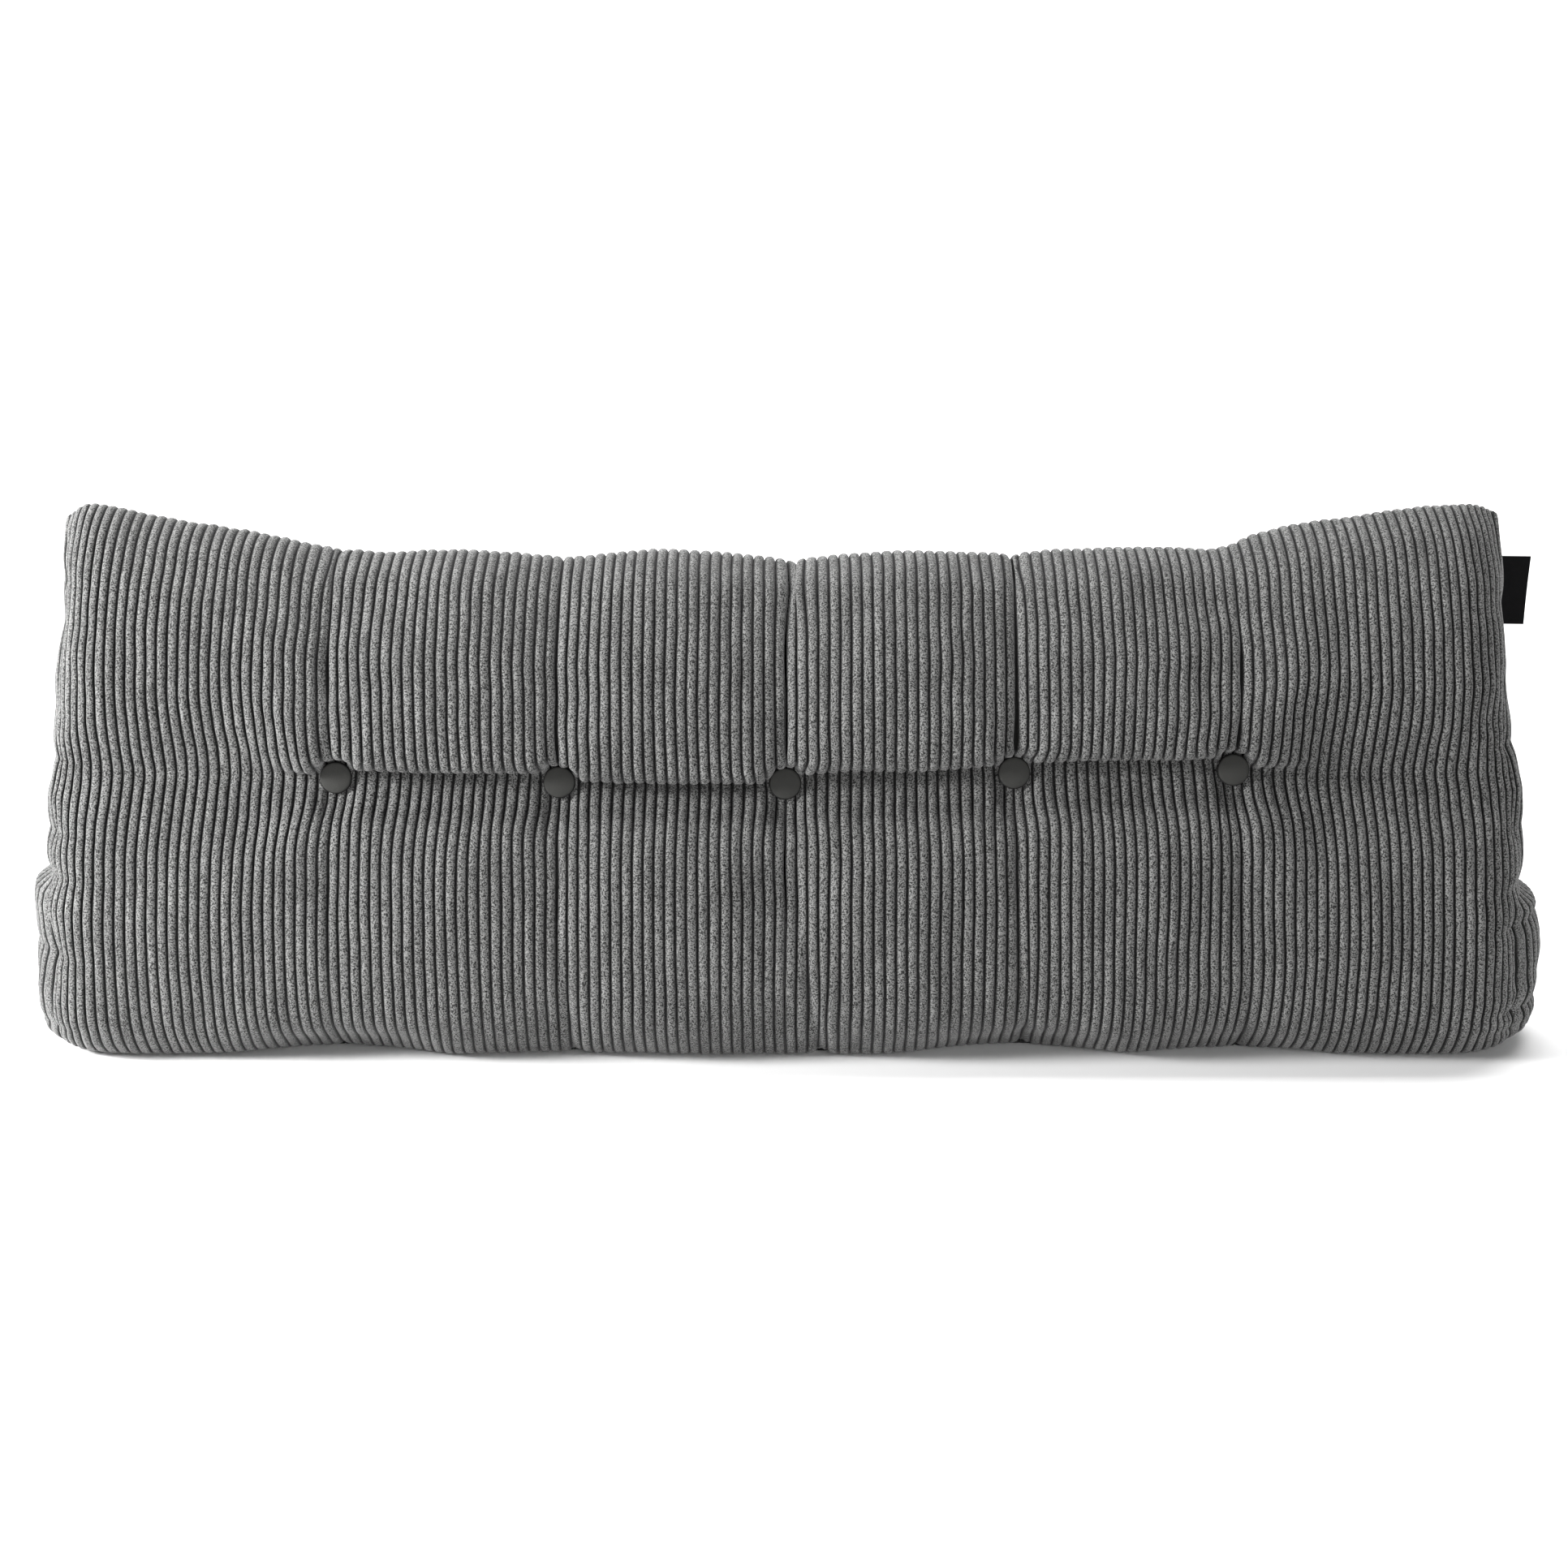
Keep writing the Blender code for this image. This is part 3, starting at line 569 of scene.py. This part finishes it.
def fold_depth(x, place):
    """How deep the sharp folds are at each place."""
    depth = np.zeros_like(x)
    top = float(len(FRONT) - 1)
    for fold in FOLDS:
        share = (place - CREASE) / (top - CREASE) if fold.up else (CREASE - place) / CREASE
        bow = fold.bow * np.sin(np.pi * np.clip(share, 0.0, 1.0))
        line = fold.near + (fold.far - fold.near) * share - bow
        reach = smooth((share - FOLD_START) / FOLD_START) * (1.0 - smooth(share - 1.0))
        across = (x - line[:, None]) / FOLD_WIDTH
        most = blend(fold.near_depth, fold.far_depth, np.clip(share, 0.0, 1.0)) * reach
        depth = depth + most[:, None] * np.exp(-np.abs(across) ** FOLD_SHARPNESS)
    return depth


def settled_offsets():
    """Lets the cover puff out between its tufts, creases and seams, as a simulated cloth under pressure.

    Gives how far each whole wale and fraction of a station moves: shape (rows, wales, 3).
    """
    wale = np.arange(-HALF_WALES, HALF_WALES + 1, dtype=float)
    place = np.arange(0.0, len(RING), 1.0 / SETTLE_STEPS)
    start = catmull(ring_knots(wale), place)
    start = start + grid_normals(start) * uneven(ROUGH_START, wale, place)[:, :, None]
    item = mesh_object("settling_cover", np.concatenate([start, start[:1]]))
    merge = bmesh.new()
    merge.from_mesh(item.data)
    merge.verts.ensure_lookup_table()
    first, last = merge.verts[: len(wale)], merge.verts[-len(wale) :]
    bmesh.ops.weld_verts(merge, targetmap=dict(zip(last, first)))
    merge.to_mesh(item.data)
    merge.free()
    x = start[:, :, 0]
    seat = np.min([np.abs(x - t.x) for t in TUFTS], axis=0) < SEAT_HALF_WIDTH
    held = np.abs(place - CREASE)[:, None] < HELD_STATIONS
    seam = np.broadcast_to(np.abs(wale)[None, :] >= HALF_WALES - SEAM_WALES, x.shape)
    floor = start[:, :, 2] < HELD_FLOOR
    crease = np.broadcast_to(np.abs(place - CREASE)[:, None] < CREASE_STATIONS, x.shape)
    pinned = (seat & held) | seam | floor | crease
    soft = np.where(pinned, 1.0, np.where(np.broadcast_to(held, x.shape), 0.5, 0.0))
    group = item.vertex_groups.new(name="held")
    for level in (0.5, 1.0):
        group.add([int(i) for i in np.flatnonzero(soft.ravel() == level)], level, "REPLACE")
    cloth = item.modifiers.new("cloth", "CLOTH")
    cloth.settings.quality = 8
    cloth.settings.mass = 0.3
    cloth.settings.tension_stiffness = 20.0
    cloth.settings.compression_stiffness = 8.0
    cloth.settings.bending_stiffness = 4.0
    cloth.settings.vertex_group_mass = "held"
    cloth.settings.shrink_min = -0.006
    cloth.settings.use_pressure = True
    cloth.settings.uniform_pressure_force = SETTLE_PRESSURE
    cloth.settings.effector_weights.gravity = 0.0
    cloth.point_cache.frame_start = 1
    cloth.point_cache.frame_end = SETTLE_FRAMES
    scene = bpy.context.scene
    for frame_number in range(1, SETTLE_FRAMES + 1):
        scene.frame_set(frame_number)
    moved = item.evaluated_get(bpy.context.evaluated_depsgraph_get()).data
    coords = np.empty(len(moved.vertices) * 3)
    moved.vertices.foreach_get("co", coords)
    offsets = coords.reshape(start.shape) - start
    scene.frame_set(1)
    bpy.data.objects.remove(item)
    size = np.linalg.norm(offsets, axis=2, keepdims=True)
    print("settled: median %.1f mm, most %.1f mm" % (1000 * np.median(size), 1000 * size.max()))
    return offsets * np.tanh(size / SETTLE_MOST) * SETTLE_MOST / np.maximum(size, 1e-9)


def settled(offsets, wale, place):
    """The settled cover's offsets at some wales and stations."""
    rows = catmull(offsets, place * SETTLE_STEPS)
    low = np.clip(np.floor(wale).astype(int), -HALF_WALES, HALF_WALES - 1)
    part = (wale - low)[None, :, None]
    low = low + HALF_WALES
    return rows[:, low] * (1.0 - part) + rows[:, low + 1] * part


def cover_piece(name, first_wale, last_wale, first_station, last_station, rows_per_station):
    """A stretch of the corduroy cover with its wales raised in the mesh."""
    wale = wale_columns(first_wale, last_wale)
    count = (last_station - first_station) * rows_per_station + 1
    place = np.linspace(first_station, last_station, count)
    points = catmull(ring_knots(wale), place)
    points = points + settled(offsets, wale, place)
    points[:, :, 0] += pucker_shift(wale[None, :], points[:, :, 1], points[:, :, 2])
    points[:, :, 0] += tuck_shift(points[:, :, 0], points[:, :, 1], points[:, :, 2])
    points[:, :, 0] += uneven(WANDER, wale, place)
    normal = grid_normals(points)
    lumps = uneven(SOFT_LUMPS, wale, place) + uneven(FINE_LUMPS, wale, place)
    free = np.interp(place, np.arange(len(RING) + 1), [s.relief for s in RING] + [RING[0].relief])
    depth = fold_depth(points[:, :, 0], place)
    points = points + normal * (lumps * free[:, None] - depth)[:, :, None]
    swell = 1.0 + WALE_SWELL * lattice_noise(np.floor(wale)[None, :] * 0.9, place[:, None] * 2.0, 3)
    height = WALE_HEIGHT * wale_profile(wale)[None, :] * free[:, None] * swell
    points = points + normal * height[:, :, None]
    points[:, :, 2] = np.maximum(points[:, :, 2], 0.0)
    item = mesh_object(name, points)
    mark_ridges(item, np.broadcast_to(wale_inset(wale), points.shape[:2]))
    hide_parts("cushion")
    return item


# End panels


def panel_edges(side, z):
    """Front and rear edges, (x, y) each, of an end panel at some heights."""
    heights = lambda edge: np.maximum.accumulate(edge[:, 2])
    top = [s.name for s in RING].index("top")
    low_rear = [s.name for s in RING].index("base_rear")
    knots = ring_knots(np.array([side * float(HALF_WALES)]))
    front = catmull(knots, np.linspace(0.0, top, 40 * top))[:, 0]
    rear = catmull(knots, np.linspace(low_rear, top, 40 * (low_rear - top)))[:, 0]
    return [[np.interp(z, heights(edge), edge[:, k]) for k in (0, 1)] for edge in (front, rear)]


def end_panel(name, side):
    """A corduroy end panel: a thin sheet from seam to seam whose wales follow the front seam."""
    knots = ring_knots(np.array([side * float(HALF_WALES)]))[:, 0]
    low, high = knots[:, 2].min(), knots[:, 2].max()
    z = low + (high - low) * np.sin(0.5 * np.pi * np.linspace(0.0, 1.0, PANEL_ROWS))
    across = (1.0 - np.cos(np.pi * np.linspace(0.0, 1.0, PANEL_COLUMNS))) / 2.0
    (front_x, front_y), (rear_x, rear_y) = panel_edges(side, z)
    y = front_y[:, None] + (rear_y - front_y)[:, None] * across
    rise = LEFT_FOLD_RISE * np.clip(z / SPREAD_HEIGHT, 0.0, 1.0) if side < 0 else 0.0
    bulges = [b.right if side > 0 else b.left for b in BULGES]
    out = np.interp(z - rise, [b.z for b in BULGES], bulges)
    out = out * np.sin(0.5 * np.pi * np.clip((z - low) / BULGE_EDGE + BULGE_AT_BASE, 0.0, 1.0))
    swell = (4.0 * across * (1.0 - across)) ** BULGE_ROUNDNESS
    front_x = front_x + pucker_shift(np.full_like(z, side * float(HALF_WALES)), front_y, z)
    x = front_x[:, None] + (rear_x - front_x)[:, None] * across + side * out[:, None] * swell
    points = np.stack([x, y, np.broadcast_to(z[:, None], x.shape)], axis=2)
    wale = (y - front_y[:, None]) / PANEL_WALE_PITCH
    inset = np.minimum(y - front_y[:, None], rear_y[:, None] - y)
    if side < 0:
        points, wale, inset = points[:, ::-1], wale[:, ::-1], inset[:, ::-1]
    normal = grid_normals(points)
    ridge = wale_profile(wale) + 0.5
    free = smooth(inset / PANEL_SEAM_FADE) * smooth((z - low) / PANEL_BASE_FADE)[:, None]
    lumps = lattice_noise(z[:, None] / PANEL_LUMP_HEIGHT, wale * PANEL_LUMPS_TO_A_WALE, PANEL_LUMP_SEED)
    height = PANEL_WALE_HEIGHT * ridge - PANEL_SINK + (PANEL_FILL + PANEL_LUMPS * lumps) * free
    item = mesh_object(name, points + normal * height[:, :, None])
    mark_ridges(item, wale_inset(wale))
    solid = item.modifiers.new("thickness", "SOLIDIFY")
    solid.thickness = PANEL_THICKNESS
    solid.offset = -1.0
    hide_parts(name)
    return item


# Buttons and label


def button_profile():
    """(radius, height) from under the button, round its rolled rim and up to its crown."""
    profile = []
    for i in range(BUTTON_ROLL_STEPS + 1):
        turn = math.pi * i / BUTTON_ROLL_STEPS - math.pi / 2.0
        radius = BUTTON_FACE_RADIUS + BUTTON_ROLL_WIDTH * math.cos(turn)
        profile.append((radius, BUTTON_ROLL_MIDDLE + BUTTON_ROLL_HEIGHT * math.sin(turn)))
    for i in range(1, BUTTON_DOME_STEPS):
        share = 1.0 - i / BUTTON_DOME_STEPS
        profile.append((BUTTON_FACE_RADIUS * share, BUTTON_FACE_HEIGHT + BUTTON_DOME * (1.0 - share**2)))
    return profile


def button(tuft):
    """A covered button with a low dome and a rolled rim, on its seat."""
    mesh = bmesh.new()
    rings = []
    turns = [2.0 * math.pi * i / BUTTON_SEGMENTS for i in range(BUTTON_SEGMENTS)]
    for radius, height in button_profile():
        rings.append([mesh.verts.new((radius * math.cos(a), radius * math.sin(a), height)) for a in turns])
    for low, high in zip(rings, rings[1:]):
        for i in range(BUTTON_SEGMENTS):
            j = (i + 1) % BUTTON_SEGMENTS
            mesh.faces.new((low[i], low[j], high[j], high[i]))
    mesh.faces.new(rings[0][::-1])
    crown = mesh.verts.new((0.0, 0.0, BUTTON_FACE_HEIGHT + BUTTON_DOME))
    for i in range(BUTTON_SEGMENTS):
        mesh.faces.new((rings[-1][i], rings[-1][(i + 1) % BUTTON_SEGMENTS], crown))
    data = bpy.data.meshes.new("covered_" + tuft.name)
    mesh.to_mesh(data)
    mesh.free()
    data.shade_smooth()
    item = bpy.data.objects.new("covered_" + tuft.name, data)
    bpy.context.scene.collection.objects.link(item)
    item.rotation_euler = (math.pi / 2.0 - SEAT_TILT, 0.0, 0.0)
    item.location = (
        tuft.x,
        SEAT_Y - BUTTON_CLEARANCE * math.cos(SEAT_TILT),
        tuft.z + BUTTON_CLEARANCE * math.sin(SEAT_TILT),
    )
    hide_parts(tuft.name)
    return item


def ribbon_label():
    """A bare ribbon folded once, its fold outwards, a little curled and not quite flat."""
    along = np.linspace(0.0, 1.0, LABEL_ROWS)
    turn = np.linspace(-0.5 * math.pi, 0.5 * math.pi, LABEL_TURN_STEPS)[1:-1]
    half = LABEL_THICKNESS / 2.0
    reach = LABEL_WIDTH - half
    out = np.linspace(0.0, reach, LABEL_COLUMNS)
    side = np.full(LABEL_COLUMNS, half)
    x = np.concatenate([out, reach + half * np.cos(turn), out[::-1]])
    y = np.concatenate([-side, half * np.sin(turn), side])
    z = (along - 0.5) * LABEL_HEIGHT
    curl = LABEL_CURL * (x / LABEL_WIDTH) ** 2 * np.sin(2.2 * along[:, None] + 0.4)
    depth = y + curl - LABEL_SET * x / LABEL_WIDTH
    points = np.stack([np.broadcast_to(x, curl.shape), depth, np.broadcast_to(z[:, None], curl.shape)], axis=2)
    item = mesh_object("folded_label", points)
    solid = item.modifiers.new("thickness", "SOLIDIFY")
    solid.thickness = RIBBON_THICKNESS
    solid.offset = 0.0
    item.rotation_euler = (0.0, LABEL_TILT, 0.0)
    item.location = LABEL_PLACE
    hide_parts("label_tab")
    return item


# Materials


def corduroy_material():
    """Grey wide-wale pile: painted shade darkening the grooves, fine pits, and nap brushed lighter and darker."""
    material = bpy.data.materials.new("grey_corduroy")
    material.use_nodes = True
    nodes, links = material.node_tree.nodes, material.node_tree.links
    shader = nodes["Principled BSDF"]
    shader.inputs["Roughness"].default_value = 0.9
    shader.inputs["Specular IOR Level"].default_value = 0.25
    shader.inputs["Sheen Weight"].default_value = 0.22
    shader.inputs["Sheen Roughness"].default_value = 0.4
    place = nodes.new("ShaderNodeTexCoord")

    def noise(scale, detail, stretch=(1.0, 1.0, 1.0)):
        mapping = nodes.new("ShaderNodeMapping")
        mapping.inputs["Scale"].default_value = stretch
        links.new(place.outputs["Object"], mapping.inputs["Vector"])
        texture = nodes.new("ShaderNodeTexNoise")
        texture.inputs["Scale"].default_value = scale
        texture.inputs["Detail"].default_value = detail
        links.new(mapping.outputs["Vector"], texture.inputs["Vector"])
        return texture.outputs["Fac"]

    def remap(value, low, high, out_low, out_high):
        node = nodes.new("ShaderNodeMapRange")
        node.interpolation_type = "SMOOTHSTEP"
        for name, number in zip(("From Min", "From Max", "To Min", "To Max"), (low, high, out_low, out_high)):
            node.inputs[name].default_value = number
        links.new(value, node.inputs["Value"])
        return node.outputs["Result"]

    def times(a, b):
        node = nodes.new("ShaderNodeMath")
        node.operation = "MULTIPLY"
        links.new(a, node.inputs[0])
        links.new(b, node.inputs[1])
        return node.outputs["Value"]

    ridge = nodes.new("ShaderNodeAttribute")
    ridge.attribute_name = "ridge"
    grain = noise(720.0, 2.0)
    # Painted shade: the pile's colour darkens towards the bottom of each groove between wales, where shade falls
    painted_groove_shade = remap(ridge.outputs["Fac"], 0.14, 0.44, 0.015, 1.0)
    pits = remap(grain, 0.36, 0.63, 0.12, 1.80)
    nap = remap(noise(26.0, 4.0, (2.6, 1.0, 0.55)), 0.34, 0.66, 0.84, 1.10)
    tone = times(times(painted_groove_shade, pits), nap)
    color = nodes.new("ShaderNodeMix")
    color.data_type = "RGBA"
    color.clamp_factor = False
    color.inputs["A"].default_value = (0.0, 0.0, 0.0, 1.0)
    color.inputs["B"].default_value = CORDUROY_COLOR
    links.new(tone, color.inputs["Factor"])
    links.new(color.outputs["Result"], shader.inputs["Base Color"])
    bump = nodes.new("ShaderNodeBump")
    bump.inputs["Distance"].default_value = 0.0007
    bump.inputs["Strength"].default_value = 0.9
    links.new(grain, bump.inputs["Height"])
    links.new(bump.outputs["Normal"], shader.inputs["Normal"])
    return material


def plain_material(name, color, roughness, specular, rim=None):
    """Smooth cloth with a fine weave. rim: (start, end) radii between which a button's cover is painted darker, a
    painted shadow where it sinks into the cloth.
    """
    material = bpy.data.materials.new(name)
    material.use_nodes = True
    nodes, links = material.node_tree.nodes, material.node_tree.links
    shader = nodes["Principled BSDF"]
    shader.inputs["Base Color"].default_value = (*color, 1.0)
    shader.inputs["Roughness"].default_value = roughness
    shader.inputs["Specular IOR Level"].default_value = specular
    place = nodes.new("ShaderNodeTexCoord")
    grain = nodes.new("ShaderNodeTexNoise")
    grain.inputs["Scale"].default_value = 1500.0
    links.new(place.outputs["Object"], grain.inputs["Vector"])
    bump = nodes.new("ShaderNodeBump")
    bump.inputs["Distance"].default_value = 0.0002
    links.new(grain.outputs["Fac"], bump.inputs["Height"])
    links.new(bump.outputs["Normal"], shader.inputs["Normal"])
    if rim:
        flat = nodes.new("ShaderNodeMapping")
        flat.inputs["Scale"].default_value = (1.0, 1.0, 0.0)
        links.new(place.outputs["Object"], flat.inputs["Vector"])
        length = nodes.new("ShaderNodeVectorMath")
        length.operation = "LENGTH"
        links.new(flat.outputs["Vector"], length.inputs[0])
        edge = nodes.new("ShaderNodeMapRange")
        edge.interpolation_type = "SMOOTHSTEP"
        edge.inputs["From Min"].default_value = rim[0]
        edge.inputs["From Max"].default_value = rim[1]
        links.new(length.outputs["Value"], edge.inputs["Value"])
        # Painted shadow: the cover darkens towards its rim, where the button sinks into the cloth
        shade = nodes.new("ShaderNodeMix")
        shade.data_type = "RGBA"
        shade.inputs["A"].default_value = (*color, 1.0)
        shade.inputs["B"].default_value = (*(RIM_PAINTED_SHADOW * part for part in color), 1.0)
        links.new(edge.outputs["Result"], shade.inputs["Factor"])
        links.new(shade.outputs["Result"], shader.inputs["Base Color"])
    return material


offsets = settled_offsets()
corduroy = corduroy_material()
button_cloth = plain_material("button_cloth", BUTTON_COLOR, 0.95, 0.2, BUTTON_RIM_SHADOW)
ribbon = plain_material("ribbon", RIBBON_COLOR, 0.8, 0.08)

front_end = len(FRONT) - 1
ring_end = len(RING)
for name, first, last, low, high, rows in (
    ("cover_lower_left", -HALF_WALES, 0, 0, CREASE, ROWS_PER_STATION),
    ("cover_lower_right", 0, HALF_WALES, 0, CREASE, ROWS_PER_STATION),
    ("cover_upper_left", -HALF_WALES, 0, CREASE, front_end, ROWS_PER_STATION),
    ("cover_upper_right", 0, HALF_WALES, CREASE, front_end, ROWS_PER_STATION),
    ("cover_back_left", -HALF_WALES, 0, front_end, ring_end, BACK_ROWS_PER_STATION),
    ("cover_back_right", 0, HALF_WALES, front_end, ring_end, BACK_ROWS_PER_STATION),
):
    piece = cover_piece(name, first, last, low, high, rows)
    piece.data.materials.append(corduroy)
    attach(piece, "root")

for name, side in (("end_panel_left", -1), ("end_panel_right", 1)):
    piece = end_panel(name, side)
    piece.name = "cloth_" + name
    piece.data.materials.append(corduroy)
    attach(piece, "root")

for tuft in TUFTS:
    piece = button(tuft)
    piece.data.materials.append(button_cloth)
    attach(piece, "root")

piece = ribbon_label()
piece.data.materials.append(ribbon)
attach(piece, "root")


# Stage, light and camera


def area_light(light):
    data = bpy.data.lights.new(light.name, "AREA")
    data.shape = "RECTANGLE"
    data.size, data.size_y = light.size
    data.energy = light.power
    item = bpy.data.objects.new(light.name, data)
    item.location = light.place
    item.rotation_euler = (Vector(light.target) - Vector(light.place)).to_track_quat("-Z", "Y").to_euler()
    bpy.context.scene.collection.objects.link(item)
    return item


def backdrop():
    """A seamless pale sweep: floor, a wide curve and a wall."""
    profile = [(FLOOR_FRONT_Y, FLOOR_Z), (SWEEP_START_Y, FLOOR_Z)]
    for i in range(1, SWEEP_STEPS + 1):
        turn = math.pi / 2.0 * i / SWEEP_STEPS
        rise = SWEEP_RADIUS * (1.0 - math.cos(turn))
        profile.append((SWEEP_START_Y + SWEEP_RADIUS * math.sin(turn), FLOOR_Z + rise))
    profile.append((SWEEP_START_Y + SWEEP_RADIUS, WALL_TOP_Z))
    points = np.array([[(x, y, z) for x in (-STAGE_HALF_WIDTH, STAGE_HALF_WIDTH)] for y, z in profile])
    item = mesh_object("backdrop", points)
    material = bpy.data.materials.new("pale_paper")
    material.use_nodes = True
    shader = material.node_tree.nodes["Principled BSDF"]
    shader.inputs["Base Color"].default_value = STAGE_COLOR
    shader.inputs["Roughness"].default_value = 0.9
    item.data.materials.append(material)
    item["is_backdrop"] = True
    return item


backdrop()
for light in LIGHTS:
    area_light(light)

world = bpy.data.worlds.new("studio")
world.use_nodes = True
world.node_tree.nodes["Background"].inputs["Color"].default_value = (1.0, 1.0, 1.0, 1.0)
world.node_tree.nodes["Background"].inputs["Strength"].default_value = WORLD_STRENGTH
bpy.context.scene.world = world
bpy.context.scene.view_settings.view_transform = "Standard"

camera_data = bpy.data.cameras.new("camera")
camera_data.sensor_width = SENSOR_MM
camera_data.lens = LENS_MM
camera = bpy.data.objects.new("camera", camera_data)
back = Vector((0.0, -math.cos(CAMERA_ELEVATION), math.sin(CAMERA_ELEVATION)))
camera.location = CAMERA_PIVOT + back * CAMERA_DISTANCE
camera.rotation_euler = (math.pi / 2.0 - CAMERA_ELEVATION, 0.0, 0.0)
bpy.context.scene.collection.objects.link(camera)
bpy.context.scene.camera = camera

made_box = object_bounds()
[[list(map(float, corner)) for corner in box] for box in (cad_box, made_box)]
